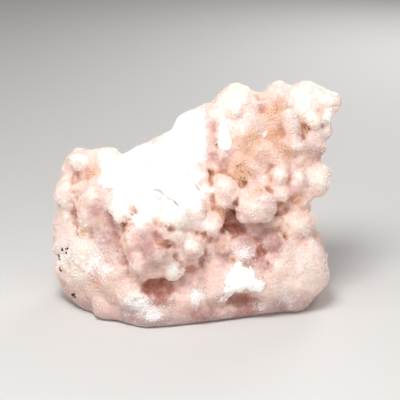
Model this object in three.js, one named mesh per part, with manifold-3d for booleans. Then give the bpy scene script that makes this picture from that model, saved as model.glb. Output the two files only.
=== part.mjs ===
// Amethyst druse: one lumpy piece of pale pink drusy quartz. It stands on a flat break. A smooth
// broken slope covers its upper left, a cluster of knobs hangs below the slope, a knobbly peak
// stands on the right, and there is a hollow under the peak.
// Millimetres, +Z up, front towards -Y. The origin is on the base, under the middle of the box
// that holds the stone.

import * as THREE from "three";
import { ConvexGeometry } from "three/addons/geometries/ConvexGeometry.js";
import { ImprovedNoise } from "three/addons/math/ImprovedNoise.js";
import { MeshSurfaceSampler } from "three/addons/math/MeshSurfaceSampler.js";
import { mergeVertices } from "three/addons/utils/BufferGeometryUtils.js";
import Module from "manifold-3d";

// Driving dimensions, in millimetres.
const UNEVEN = 0.3; // how far a knob swells and sinks, as a share of its radius
const UNEVEN_LENGTH = 1.5; // from one swell of a knob to the next, as a share of its radius
const LARGE_KNOB = 6.5; // knobs from this radius on are split finer
const FINER = 2.3; // how many fine swells there are to a broad one
const FAINTER = 0.4; // height of a fine swell, as a share of a broad one's
const BUD = { least: 1.4, most: 2.6, count: 24, out: 0 }; // radii, number, how far out of the stone
const POINT = { least: 0.8, most: 1.5, count: 36, out: -0.7 }; // the same for the quartz points
const POINT_SIDES = 6;
const POINT_SHANK = 1.1; // length of a point's six-sided shank, as a share of its radius
const POINT_TIP = 1.2; // height of its six-sided tip, as a share of its radius
const LEAN = 0.35; // how far a point leans from straight out, as a share of its length
const BARE_BELOW = 6; // nothing grows on the stone up to this height
const BARE_BEHIND = 14; // nor further back than this
const SLOPE_FACING = [-0.43, -0.53, 0.73]; // the way that the broken slope faces
const SLOPE_SPREAD = 0.86; // faces this close to it are on the slope, and bare
const SEED = 20240611;
const CUT = [240, 240, 60]; // size of the box that cuts the base flat
const ALIKE = 1e-4; // corners closer than this are one

// The rough blocks of the stone, each given by its corners.
const BLOCKS = {
  foot: [
    [-45, -3, 0], [-38, -10.5, -2], [-27, -17.5, -2], [-18, -25, -2], [-6, -18, -2], [9, -11, -2],
    [28, -11.5, -2],
    [37, -9, -2], [42, 2, 0], [43, 18, -2], [28, 23, -2], [-5, 26, -2], [-32, 21, -2], [-46, 14, -2],
    [-49.5, -3, 11], [-44, -12, 11], [-30, -20, 13], [-17, -25, 10], [8, -18.5, 12], [34, -17.5, 12],
    [44, -9, 9], [46, 1, 9], [45, 16, 12], [30, 25, 14], [-4, 28, 12], [-30, 24, 12], [-48, 12, 12],
    [-47, 0, 27], [-42, -11, 26], [-24, -16, 25], [6, -12.5, 24], [32, -12.5, 21.5], [42, -6.5, 23],
    [41, 10, 27], [20, 24, 30], [-10, 21, 28], [-40, 18, 29],
  ],
  massif: [
    [-30, 8, 49.5], [-16, 9, 56.4], [-10, 10, 59.4], [-1, 11, 64], [-43.5, -1, 42], [-29, -16.5, 42],
    [-12, -22.5, 38.5], [7, -15, 30], [4.5, 4, 62.5], [6, -3, 50.5], [9.5, -8.5, 40], [11, -12.5, 33],
    [-28, 19, 44], [-8, 18, 54], [4, 19, 55], [-42, 12, 40], [-38, 20, 32], [-16, 25, 34], [-46, -3, 20],
    [-33, -17, 18], [-15, -23, 20], [4, -15, 16], [6, 20, 15], [-44, 16, 18],
  ],
  spine: [
    [-7, 12, 64.5], [-9.5, 12, 58], [-2, 13, 66.5], [5, 14, 69.5], [12, 14, 71.5], [20, 14, 70], [12, 10, 60],
    [10, 4, 40], [-4, 12, 58], [-8, 18, 61], [-11, 19, 46], [4, 22, 50], [18, 23, 65], [22, 27, 36],
    [20, 23, 18], [-10, 22, 20], [10, 4, 16], [24, 6, 20], [24, 8, 60],
  ],
  peak: [
    [9, 15, 70], [14, 15, 72], [28, 15, 72.5], [39, 16, 73], [49, 12.5, 72.6], [46.5, 10, 64], [41.5, 5, 51],
    [38.5, 2, 43], [37.5, 0, 38], [3, 8, 61], [3, 3, 49], [8, -4, 44], [22, -8, 43], [34, -5, 43], [7, 0, 32],
    [21, -5, 32], [36.5, -3, 35], [14, 21, 68], [38, 21, 69], [45, 17, 64], [42, 21, 44], [33, 28, 41],
    [8, 23, 44], [38, 23, 32], [6, 20, 60], [27, 22, 60],
  ],
  neck: [
    [24, -5, 31], [37, -3, 34], [39.5, -5.5, 25], [30, -8, 24], [4, 2, 34], [4, 0, 18], [42.5, 2, 18],
    [39, 19, 38], [8, 22, 38], [8, 23, 18], [33, 22, 20], [42, 17, 18], [28, -6, 18],
  ],
  cluster: [
    [-28, -13, 40], [-26, -16, 33], [-23.5, -18.5, 28], [-20, -22, 23.5], [-14, -24.5, 22], [-6, -22.5, 22],
    [2, -16, 22], [5, -13, 30], [5, -11, 36], [-4, -18, 36], [-12, -22, 37], [-13, -25, 29], [-20, -21, 34],
    [-26, -4, 40], [-24, -4, 20], [0, -2, 20], [2, -2, 38],
  ],
};

// The knobs, each given by its middle, its radius and, where it isn't round, its stretch and turn.
const KNOBS = [
  // the top of the peak
  { at: [14.2, 13.8, 66.2], r: 8.6 },
  { at: [6.6, 12, 63], r: 6.2 },
  { at: [19.5, 13, 59.6], r: 7.2 },
  { at: [28, 16.2, 67.2], r: 8 },
  { at: [39, 15.4, 66.6], r: 8.8 },
  { at: [45.2, 12.6, 69], r: 4.6, stretch: [1.4, 1, 0.8], turn: [0, 16, 0] },
  { at: [42.2, 12.4, 59.4], r: 5 },
  { at: [31, 6.2, 63], r: 3.8, stretch: [0.9, 1, 2], turn: [26, 10, 0] },
  { at: [33, 2, 56.8], r: 4.4 },
  { at: [38, 10.6, 61.6], r: 5.2 },
  { at: [37.4, 8.4, 54.4], r: 6.2 },
  { at: [25, 9.2, 60.6], r: 5.4, stretch: [0.8, 1, 1.6], turn: [24, 6, 0] },
  // the knobs along its lower edge
  { at: [28.6, -0.6, 48], r: 4.9, stretch: [1, 1, 1.35] },
  { at: [34.6, -0.4, 45.2], r: 4.6 },
  { at: [40.8, 2, 44.8], r: 6.2 },
  { at: [27, -2, 40.4], r: 5.2 },
  { at: [34.8, 0.8, 39.6], r: 6 },
  { at: [20, -8, 39.2], r: 7 },
  { at: [9.2, -6, 42.6], r: 6.2 },
  { at: [6.4, 1.6, 50], r: 5.4 },
  { at: [16.5, 1.6, 48.4], r: 6.8 },
  { at: [22.4, 2.4, 52.4], r: 6.4 },
  { at: [14, 5.8, 54.6], r: 5 },
  // the ledge and the hollow under the peak
  { at: [32.4, -2.2, 30.2], r: 6.2, stretch: [1.5, 1, 0.85] },
  { at: [24, -2.8, 25], r: 6.4 },
  { at: [31, -4.6, 23.5], r: 5.4 },
  { at: [16, -8.6, 22.4], r: 5.8, stretch: [0.9, 1, 1.2] },
  { at: [7.2, -7, 24.6], r: 6.6 },
  { at: [12.5, -1.6, 28], r: 5.8 },
  // the cluster that hangs from the slope
  { at: [-9.2, -16.4, 37.6], r: 6.4 },
  { at: [3, -11, 32.8], r: 6.2 },
  { at: [-24.6, -13.4, 39.8], r: 6.6 },
  { at: [-17.2, -16, 34.6], r: 6.2 },
  { at: [-20.4, -17.6, 29.6], r: 6.2 },
  { at: [-9.8, -17.8, 31.6], r: 5.8 },
  { at: [-2.6, -14.6, 27.8], r: 6.2 },
  { at: [0.4, -13.2, 23.8], r: 5.6 },
  { at: [-13.2, -20, 26.2], r: 7.4 },
  { at: [-17.6, -19.8, 22.8], r: 5.8 },
  { at: [-7.2, -21.8, 23.6], r: 3.8 },
  // the left side
  { at: [-35.2, -7.8, 36.4], r: 5, stretch: [1, 1, 2] },
  { at: [-29.8, -11, 33.6], r: 5, stretch: [1, 1, 1.7] },
  { at: [-25, -14, 30.8], r: 4.8 },
  { at: [-43, 2, 38.6], r: 7 },
  { at: [-43.4, 3, 29.6], r: 7.2 },
  { at: [-43, 1, 20.8], r: 7.2 },
  { at: [-40.2, 7.2, 46.8], r: 7 },
  { at: [-33, 9, 47.4], r: 6.8 },
  { at: [-34, -3.8, 18.6], r: 15 },
  { at: [-25, -10.6, 14.6], r: 12 },
  { at: [-44, -1, 12.6], r: 6.4 },
  // the foot
  { at: [-36.6, -6, 7.6], r: 8.2 },
  { at: [-29.6, -11.6, 6], r: 8.4 },
  { at: [-17, -18.6, 5], r: 7.6 },
  { at: [-9.6, -16.6, 8.4], r: 7.4 },
  { at: [-20, -18.6, 11], r: 8 },
  { at: [-3, -12, 9.4], r: 10.2 },
  { at: [10, -9.6, 10], r: 10.4 },
  { at: [21, -8.8, 9.4], r: 10.2 },
  { at: [-3.4, -13.6, 16.4], r: 5.6 },
  { at: [3.4, -9.6, 17.4], r: 7.2 },
  { at: [16, -7.4, 15], r: 10.6 },
  { at: [27, -6, 15], r: 11 },
  { at: [35.4, -3.4, 14], r: 11.6 },
  { at: [32, -7.2, 6], r: 8 },
  // the back
  { at: [-25, 13, 35], r: 12, stretch: [1.2, 1, 0.9] },
  { at: [-4, 11, 46], r: 11.5, stretch: [1, 1, 1.2] },
  { at: [15, 12, 56], r: 11, stretch: [0.9, 1, 1.3] },
  { at: [31, 15, 50], r: 11.5 },
  { at: [-34, 9.6, 22], r: 12.5 },
  { at: [20, 14, 24], r: 12 },
  { at: [-6, 15.4, 14], r: 12.5, stretch: [1.2, 1, 1] },
  { at: [36, 12, 12], r: 11 },
];

// The hollows, given as the knobs are.
const PITS = [
  // between the slope's edge, the knobs and the ledge
  { at: [13.2, -8.5, 32.8], r: 4.4, stretch: [1.5, 1.3, 0.75], turn: [0, -12, 0] },
  { at: [25.5, -10, 32.4], r: 3.2, stretch: [1.5, 1, 0.7] },
  // under the hanging cluster
  { at: [-11.5, -25.4, 15.4], r: 6, stretch: [1.2, 1, 0.8] },
  // at the bottom of the front
  { at: [15, -22.6, 7], r: 7, stretch: [1.7, 1, 0.7] },
  // small holes in the left side, in the cluster and beside the top knobs
  { at: [-43.4, -5.4, 32], r: 2, stretch: [0.7, 1, 1.6] },
  { at: [-10.2, -24.8, 30.6], r: 2, stretch: [1.4, 1, 0.9] },
  { at: [35.9, 3.2, 61.2], r: 2.4, stretch: [1, 1.4, 1.6] },
  // the groove across the slope
  { at: [-9.2, -16, 43.9], r: 1.5, stretch: [4.4, 0.7, 0.8], turn: [0, 29, -29] },
];

// Flat pieces that stand a little proud of the stone, each given by its outline as seen from the
// front, by how thick it is, and by the middle of its back and its turn.
const PLATES = [
  // the flat scar of a knob that broke off the peak
  {
    outline: [
      [-1.6, 4.6], [0.4, 5.2], [1.8, 3.4], [2.5, 0], [2.6, -3.4], [1.2, -5], [-0.8, -4.2], [-2.3, -1],
      [-2.4, 2.2],
    ],
    thickness: 3.2,
    at: [9.5, 5.8, 59],
    turn: [62, 0, 0],
  },
  // a ragged white crust low on the front
  {
    outline: [
      [-1.6, 5.4], [0.4, 3.6], [2.8, 2.6], [4.2, 0.8], [8.2, -0.6], [5, -1.8], [3.4, -3], [0.2, -2.6],
      [-3, -4.2], [-5, -3], [-4.4, -1.2], [-7, 0], [-4, 1], [-3, 3],
    ],
    thickness: 3,
    at: [15.8, -17.6, 15],
    turn: [80, 0, -3],
  },
];

const noise = new ImprovedNoise();
const wasm = await Module();
wasm.setup();

/** Uneven growth at a place, from about -1 to 1: broad swells with finer ones on them. */
function unevenness({ x, y, z }, wavelength) {
  const broad = noise.noise(x / wavelength, y / wavelength, z / wavelength);
  const short = wavelength / FINER;
  return broad + FAINTER * noise.noise(x / short, y / short, z / short);
}

/** A geometry with only its places left, and those that are alike merged, as a cut needs it. */
function bare(geometry) {
  geometry.deleteAttribute("normal");
  geometry.deleteAttribute("uv");
  return mergeVertices(geometry, ALIKE);
}

/** A ball whose points are moved along their directions to where reach(direction) says. */
function ball(middle, detail, reach, swell, wavelength) {
  const geometry = new THREE.IcosahedronGeometry(1, detail);
  const position = geometry.attributes.position;
  const direction = new THREE.Vector3();
  for (let i = 0; i < position.count; i += 1) {
    direction.fromBufferAttribute(position, i);
    const place = direction.clone().multiplyScalar(reach(direction)).add(middle);
    place.addScaledVector(direction, swell * unevenness(place, wavelength));
    position.setXYZ(i, place.x, place.y, place.z);
  }
  return bare(geometry);
}

/** A block: the flat broken faces that its corners span. */
function block(corners) {
  return bare(new ConvexGeometry(corners.map((corner) => new THREE.Vector3(...corner))));
}

/** A turn given in degrees about X, Y and Z. */
function turned(degrees) {
  const angles = degrees.map((angle) => THREE.MathUtils.degToRad(angle));
  return new THREE.Matrix4().makeRotationFromEuler(new THREE.Euler(...angles));
}

/** A knob: a ball or a stretched and turned one. */
function knob({ at, r, stretch = [1, 1, 1], turn = [0, 0, 0] }) {
  const back = turned(turn).invert();
  const half = new THREE.Vector3(...stretch).multiplyScalar(r);
  const reach = (direction) => 1 / direction.clone().applyMatrix4(back).divide(half).length();
  const detail = r < LARGE_KNOB ? 1 : 2;
  return ball(new THREE.Vector3(...at), detail, reach, UNEVEN * r, UNEVEN_LENGTH * r);
}

/** A closed geometry as a manifold-3d solid. */
function solidOf(geometry) {
  return new wasm.Manifold(new wasm.Mesh({
    numProp: 3,
    vertProperties: geometry.attributes.position.array,
    triVerts: new Uint32Array(geometry.index.array),
  }));
}

/** A manifold-3d solid as a geometry. */
function geometryOf(solid) {
  const { vertProperties, triVerts } = solid.getMesh();
  const geometry = new THREE.BufferGeometry();
  geometry.setAttribute("position", new THREE.BufferAttribute(vertProperties, 3));
  geometry.setIndex(new THREE.BufferAttribute(triVerts, 1));
  geometry.computeVertexNormals();
  return geometry;
}

/** A plate: its outline as thick as it says, turned to face outwards. */
function plate({ outline, thickness, at, turn }) {
  const shape = new THREE.Shape(outline.map(([x, y]) => new THREE.Vector2(x, y)));
  const geometry = new THREE.ExtrudeGeometry(shape, { depth: thickness, bevelEnabled: false });
  return bare(geometry.applyMatrix4(turned(turn)).translate(...at));
}

/** A bud: a small round growth, its middle at the origin. */
function bud(radius) {
  return new THREE.IcosahedronGeometry(radius, 0);
}

/** A quartz point along +Z: a six-sided shank with a six-sided tip. */
function quartzPoint(radius) {
  const shank = POINT_SHANK * radius;
  const profile = [[0, -shank], [radius, -shank], [radius, shank], [0, shank + POINT_TIP * radius]];
  const points = profile.map(([x, y]) => new THREE.Vector2(x, y));
  return new THREE.LatheGeometry(points, POINT_SIDES).rotateX(Math.PI / 2);
}

/** Whether buds and quartz points grow at a place that faces this way. */
function grows(place, facing) {
  const onSlope = facing.dot(new THREE.Vector3(...SLOPE_FACING)) > SLOPE_SPREAD;
  return place.z > BARE_BELOW && place.y < BARE_BEHIND && !onSlope;
}

/** Small growths of one kind, spread by chance over a stone and partly sunk into it. */
function scatter(stone, kind, make, random) {
  const sampler = new MeshSurfaceSampler(new THREE.Mesh(geometryOf(stone).toNonIndexed()));
  sampler.setRandomGenerator(random).build();
  const out = new THREE.Vector3(0, 0, 1);
  const grown = [];
  while (grown.length < kind.count) {
    const place = new THREE.Vector3();
    const facing = new THREE.Vector3();
    sampler.sample(place, facing);
    if (!grows(place, facing)) continue;
    const radius = kind.least + (kind.most - kind.least) * random() ** 2;
    const lean = new THREE.Vector3(random() - 0.5, random() - 0.5, random() - 0.5);
    const axis = facing.clone().addScaledVector(lean, 2 * LEAN).normalize();
    const geometry = make(radius).rotateZ(Math.PI * random());
    geometry.applyQuaternion(new THREE.Quaternion().setFromUnitVectors(out, axis));
    place.addScaledVector(axis, radius * kind.out);
    grown.push(solidOf(bare(geometry.translate(place.x, place.y, place.z))));
  }
  return grown;
}

const random = () => THREE.MathUtils.seededRandom();
THREE.MathUtils.seededRandom(SEED);
const rough = wasm.Manifold.union([
  ...Object.values(BLOCKS).map((corners) => solidOf(block(corners))),
  ...KNOBS.map((one) => solidOf(knob(one))),
]).subtract(wasm.Manifold.union(PITS.map((one) => solidOf(knob(one)))));
const below = new THREE.BoxGeometry(...CUT).translate(0, 0, -CUT[2] / 2);
const stone = wasm.Manifold.union([
  rough,
  ...PLATES.map((one) => solidOf(plate(one))),
  ...scatter(rough, BUD, bud, random),
  ...scatter(rough, POINT, quartzPoint, random),
]).subtract(solidOf(bare(below)));

// The origin goes on the base, under the middle of the box that holds the stone.
const geometry = geometryOf(stone);
geometry.computeBoundingBox();
const middle = geometry.boundingBox.getCenter(new THREE.Vector3());
geometry.translate(-middle.x, -middle.y, 0);

const druse = new THREE.Mesh(geometry, new THREE.MeshStandardMaterial({ color: 0xf0d5cc, roughness: 0.5 }));
druse.name = "druse";
const group = new THREE.Group();
group.add(druse);
export default group;
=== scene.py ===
"""A drusy quartz specimen, a hundred millimetres long, standing on a pale studio floor.

The stone is one body of milky, rose-tinted quartz: a spread foot, a white sloping face where it broke, a
peak of round knobs, and a coat of sugar-sized quartz points over all but the broken face. Iron stains it
orange and brown in places; its hollows, creases, recesses and underside carry painted shade in
orange-brown, rust and mauve, and some knobs and points carry painted highlights and glints.
"""

import logging  # noqa: E402
import math  # noqa: E402
from collections.abc import Iterable, Iterator, Sequence  # noqa: E402
from contextlib import contextmanager  # noqa: E402
from dataclasses import dataclass  # noqa: E402
from enum import Enum  # noqa: E402
from typing import Any  # noqa: E402

import bpy  # noqa: E402
import numpy as np  # noqa: E402
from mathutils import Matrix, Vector, noise  # noqa: E402


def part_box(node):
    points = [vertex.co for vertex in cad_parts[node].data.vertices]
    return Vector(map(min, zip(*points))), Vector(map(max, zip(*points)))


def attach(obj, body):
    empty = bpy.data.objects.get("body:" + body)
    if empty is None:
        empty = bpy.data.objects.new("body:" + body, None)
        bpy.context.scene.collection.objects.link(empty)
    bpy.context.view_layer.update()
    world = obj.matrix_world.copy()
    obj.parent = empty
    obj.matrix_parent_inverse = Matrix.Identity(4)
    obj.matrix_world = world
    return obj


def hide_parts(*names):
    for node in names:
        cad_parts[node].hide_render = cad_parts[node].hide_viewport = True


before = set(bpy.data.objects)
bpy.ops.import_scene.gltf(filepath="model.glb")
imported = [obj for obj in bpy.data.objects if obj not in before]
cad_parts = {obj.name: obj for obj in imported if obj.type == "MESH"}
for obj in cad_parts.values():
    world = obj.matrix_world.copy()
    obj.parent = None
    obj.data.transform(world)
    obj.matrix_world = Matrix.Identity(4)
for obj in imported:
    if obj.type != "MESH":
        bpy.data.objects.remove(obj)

logging.basicConfig(level=logging.INFO, format="%(message)s")
log = logging.getLogger("druse")

MM = 0.001
BODY = "root"
NODE = "druse"
QUARTZ_IOR = 1.544
SEED_STEPS = (7.3, 3.1, 5.7)  # how far apart in the noise two seeds are, along each axis
ROUGH = "rough"  # the vertex group of the swellings
SMOOTHING = 0.5  # how far a round of smoothing goes
COAT_MARGIN = 0.02  # how far crystals and grains stay inside the solid's box, in millimetres

Point = tuple[float, float, float]
Piece = bpy.types.Object
Material = bpy.types.Material
Socket = bpy.types.NodeSocket
Tree = bpy.types.NodeTree


class Tint(Enum):
    """What colours a place on the stone; each is a float attribute of the mesh, and several hold painted
    light and shade.
    """

    IRON = "iron"
    UMBER = "umber"
    # the veins' crack colour with painted shade in their creases
    VEIN_AND_SHADE = "vein"
    # the mauve tone with painted shade in recesses and under overhangs
    MAUVE_AND_SHADE = "mauve"
    # rust stain with painted shade in creases and recesses
    RUST_AND_SHADE = "rust"
    # a cream tone with painted highlights
    PALE_AND_HIGHLIGHT = "pale"
    # white frost with painted highlights and glints
    BLOOM = "bloom"
    BARE = "bare"
    # painted shade low down and on the undersides
    LOW_SHADE = "dusk"
    # painted shade in the hollows, and painted light on the crests
    HOLLOW_SHADE = "hollow"
    SUGAR = "sugar"


class Growth(Enum):
    """How a layer of swellings grew; each is the name of a texture."""

    BUBBLED = "VORONOI"
    CLOUDY = "CLOUDS"


class Part(Enum):
    """What is chosen in edit mode: the mode's name, and where the mesh keeps it."""

    POINTS = ("VERT", "vertices")
    FACES = ("FACE", "polygons")


@dataclass(frozen=True)
class Spot:
    """A round place on the stone that something gathers in.

    Args:
        at: Its middle, in millimetres.
        radius: How far it reaches, in millimetres.
        strength: How strong it is in its middle; for a dent, how deep in millimetres, and a bump is
            under nothing.
    """

    at: Point
    radius: float
    strength: float = 1.0


@dataclass(frozen=True)
class Groove:
    """One line worn or cracked into the stone.

    Args:
        path: The points that it passes through, in millimetres.
        width: How far it reaches to either side, in millimetres.
        depth: How deep its middle is, in millimetres.
    """

    path: tuple[Point, ...]
    width: float
    depth: float


@dataclass(frozen=True)
class Knob:
    """One round knob that swells out of the stone.

    Args:
        at: Its middle, in millimetres.
        radius: Its radius, in millimetres.
        stretch: How many times longer it is along each axis.
        lean: How far its top leans to the right, in degrees.
    """

    at: Point
    radius: float
    stretch: Point = (1, 1, 1)
    lean: float = 0


@dataclass(frozen=True)
class Waves:
    """Smooth noise over the stone.

    Args:
        size: From one wave to the next, in millimetres.
        height: How far they go up and down.
        seed: Which of the patterns.
    """

    size: float
    height: float
    seed: int


@dataclass(frozen=True)
class Hollows:
    """Hollows of one size, in which painted shade darkens the stone; painted light lightens its crests.

    Args:
        share: How much they count.
        rounds: How many rounds of easing fill them.
        depth: The depth that counts in full, in millimetres.
    """

    share: float
    rounds: int
    depth: float


@dataclass(frozen=True)
class Relief:
    """One layer of swellings.

    Args:
        name: What they look like.
        growth: How they grew.
        size: How large they are, in millimetres.
        height: How high they are, in millimetres.
        level: The texture's value that leaves the surface where it is.
        soften: How many rounds of smoothing follow.
    """

    name: str
    growth: Growth
    size: float
    height: float
    level: float
    soften: int = 0


def spots(*rows: tuple[float, ...]) -> tuple[Spot, ...]:
    """Makes spots from rows of numbers.

    Args:
        *rows: For each spot the three of its middle, its radius and, where it isn't one, its strength.

    Returns:
        The spots.
    """
    return tuple(Spot(row[:3], *row[3:]) for row in rows)


def linear(code: str) -> tuple[float, float, float, float]:
    """Turns an sRGB hex colour into the linear colour that shaders take.

    Args:
        code: Six hex digits, with or without a hash.

    Returns:
        Red, green, blue and a full alpha.
    """
    digits = code.lstrip("#")
    parts = [int(digits[i : i + 2], 16) / 255 for i in (0, 2, 4)]
    red, green, blue = (c / 12.92 if c <= 0.04045 else ((c + 0.055) / 1.055) ** 2.4 for c in parts)
    return red, green, blue, 1.0


def per_metre(size: float) -> float:
    """Gives the scale of a pattern whose cells are so many millimetres wide."""
    return 1 / (size * MM)


def soft(away: np.ndarray, strength: float = 1.0) -> np.ndarray:
    """Gives what a soft brush leaves at a distance.

    Args:
        away: The distance from its middle, where its rim is at one.
        strength: What it leaves in its middle.

    Returns:
        A number for each distance, from the strength down to nothing.
    """
    share = np.clip(1 - away, 0, 1)
    return strength * share * share * (3 - 2 * share)


def ramp(values: np.ndarray, start: float, span: float) -> np.ndarray:
    """Lets numbers rise from nothing at a start to one at the end of a span."""
    return np.clip((values - start) / span, 0, 1)


def wavy(points: np.ndarray, size: float, shift: Vector) -> np.ndarray:
    """Draws smooth noise over places.

    Args:
        points: The places, in millimetres.
        size: From one wave to the next, in millimetres.
        shift: Where in the noise they lie.

    Returns:
        A number between about -1 and 1 for each place.
    """
    return np.array([noise.noise(Vector(p) / size + shift) for p in points])


def kept_inside(points: np.ndarray, margin: float) -> np.ndarray:
    """Keeps places inside the box of the stone's solid.

    Args:
        points: The places, in millimetres.
        margin: How far inside they stay, in millimetres.

    Returns:
        The places, those outside moved to the margin.
    """
    low, high = (np.array(corner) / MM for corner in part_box(NODE))
    return np.clip(points, low + margin, high - margin)


def add_node(
    tree: Tree,
    kind: str,
    settings: dict[str, Any] | None = None,
    links: dict[str | int, Any] | None = None,
) -> bpy.types.Node:
    """Adds a shader node with its settings and what goes into it.

    Args:
        tree: The node tree that it joins.
        kind: The node's type name, without the leading ShaderNode.
        settings: Its properties by name.
        links: What each input gets, by the input's name or number: a value, or a socket to link from.

    Returns:
        The new node.
    """
    node = tree.nodes.new(f"ShaderNode{kind}")
    for key, value in (settings or {}).items():
        setattr(node, key, value)
    for key, value in (links or {}).items():
        if isinstance(value, Socket):
            tree.links.new(value, node.inputs[key])
        else:
            node.inputs[key].default_value = value
    return node


def clean_material(name: str) -> tuple[Material, Tree, Socket]:
    """Makes a material whose node tree is empty but for the object coordinates.

    Args:
        name: The material's name.

    Returns:
        The material, its tree, and the socket of the coordinates that its patterns follow.
    """
    material = bpy.data.materials.new(name)
    material.use_nodes = True
    material.node_tree.nodes.clear()
    place = add_node(material.node_tree, "TexCoord").outputs["Object"]
    return material, material.node_tree, place


def choose(obj: Piece) -> None:
    """Makes one object the only one selected, and the active one.

    Args:
        obj: The object.
    """
    bpy.ops.object.select_all(action="DESELECT")
    obj.select_set(True)
    bpy.context.view_layer.objects.active = obj


@contextmanager
def editing(obj: Piece, part: Part = Part.FACES, chosen: np.ndarray | None = None) -> Iterator[None]:
    """Opens an object's mesh in edit mode, and closes it again after what is done there.

    Args:
        obj: The object.
        part: What is chosen in it.
        chosen: Whether each of them is selected; without it all are.

    Yields:
        Nothing.
    """
    choose(obj)
    mode, store = part.value
    bpy.ops.object.mode_set(mode="EDIT")
    bpy.ops.mesh.select_mode(type=mode)
    bpy.ops.mesh.select_all(action="SELECT" if chosen is None else "DESELECT")
    if chosen is not None:
        bpy.ops.object.mode_set(mode="OBJECT")
        getattr(obj.data, store).foreach_set("select", chosen)
        bpy.ops.object.mode_set(mode="EDIT")
    yield
    bpy.ops.object.mode_set(mode="OBJECT")


def apply_modifier(obj: Piece, kind: str, **settings: Any) -> None:
    """Adds a modifier to an object and applies it at once.

    Args:
        obj: The object.
        kind: The modifier's type.
        **settings: Its properties by name.
    """
    choose(obj)
    modifier = obj.modifiers.new(kind.lower(), kind)
    for key, value in settings.items():
        setattr(modifier, key, value)
    bpy.ops.object.modifier_apply(modifier=modifier.name)


def add_ball(at: Iterable[float], radius: float, splits: int) -> Piece:
    """Adds a ball of triangles.

    Args:
        at: Its middle, in millimetres.
        radius: Its radius, in millimetres.
        splits: How finely it is divided.

    Returns:
        The ball.
    """
    bpy.ops.object.select_all(action="DESELECT")
    place = Vector(at) * MM
    bpy.ops.mesh.primitive_ico_sphere_add(subdivisions=splits, radius=radius * MM, location=place)
    return bpy.context.object


def join(first: Piece, others: list[Piece]) -> None:
    """Joins objects to the first one.

    Args:
        first: The object that stays.
        others: Those that become part of it.
    """
    choose(first)
    for other in others:
        other.select_set(True)
    bpy.ops.object.join()


def new_object(name: str, mesh: bpy.types.Mesh) -> Piece:
    """Puts a mesh into the scene as an object at the origin.

    Args:
        name: The object's name.
        mesh: The mesh.

    Returns:
        The object.
    """
    obj = bpy.data.objects.new(name, mesh)
    bpy.context.scene.collection.objects.link(obj)
    return obj


def finish_piece(obj: Piece, finish: Material) -> None:
    """Gives a piece its material, ties it to the stone's body and logs its size.

    Args:
        obj: The piece.
        finish: Its material.
    """
    obj.data.materials.clear()
    obj.data.materials.append(finish)
    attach(obj, BODY)
    bpy.context.view_layer.update()
    triangles = sum(len(face.vertices) - 2 for face in obj.data.polygons)
    span = [round(edge / MM, 1) for edge in obj.dimensions]
    log.info("%s: %d triangles, %s mm", obj.name, triangles, span)


def store(mesh: bpy.types.Mesh, tint: Tint, values: np.ndarray) -> None:
    """Keeps a number for each point of a mesh as one of its attributes."""
    layer = mesh.attributes.new(tint.value, "FLOAT", "POINT")
    layer.data.foreach_set("value", values.astype(np.float32))


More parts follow.
